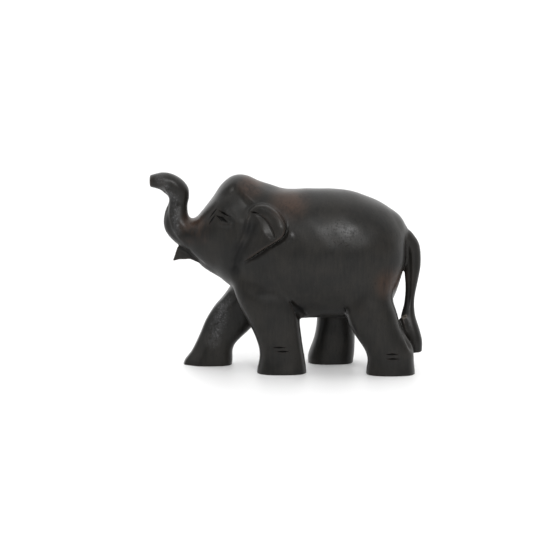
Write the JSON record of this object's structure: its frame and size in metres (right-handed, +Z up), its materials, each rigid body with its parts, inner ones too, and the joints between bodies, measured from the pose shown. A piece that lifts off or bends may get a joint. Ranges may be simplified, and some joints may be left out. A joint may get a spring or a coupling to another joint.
{
  "type": "carved wooden elephant figurine",
  "caption": "Free-standing carved wooden elephant, walking with its trunk raised in an S, in dark stained wood with a satin finish.",
  "frame": {"origin": "on the table, under the middle of the whole elephant's bounding box", "axes": "-X is the way the elephant faces, -Y is its left side, +Z is up"},
  "size_m": [0.1502, 0.0554, 0.1101],
  "materials": {
    "stained_wood": "hand-carved, stained near black, waxed to a satin sheen"
  },
  "bodies": {
    "root": {"torso": "stained_wood", "head": "stained_wood", "trunk": "stained_wood", "lower_lip": "stained_wood", "left_ear": "stained_wood", "right_ear": "stained_wood", "left_front_leg": "stained_wood", "right_front_leg": "stained_wood", "left_hind_leg": "stained_wood", "right_hind_leg": "stained_wood", "tail": "stained_wood"}
  },
  "joints": []
}
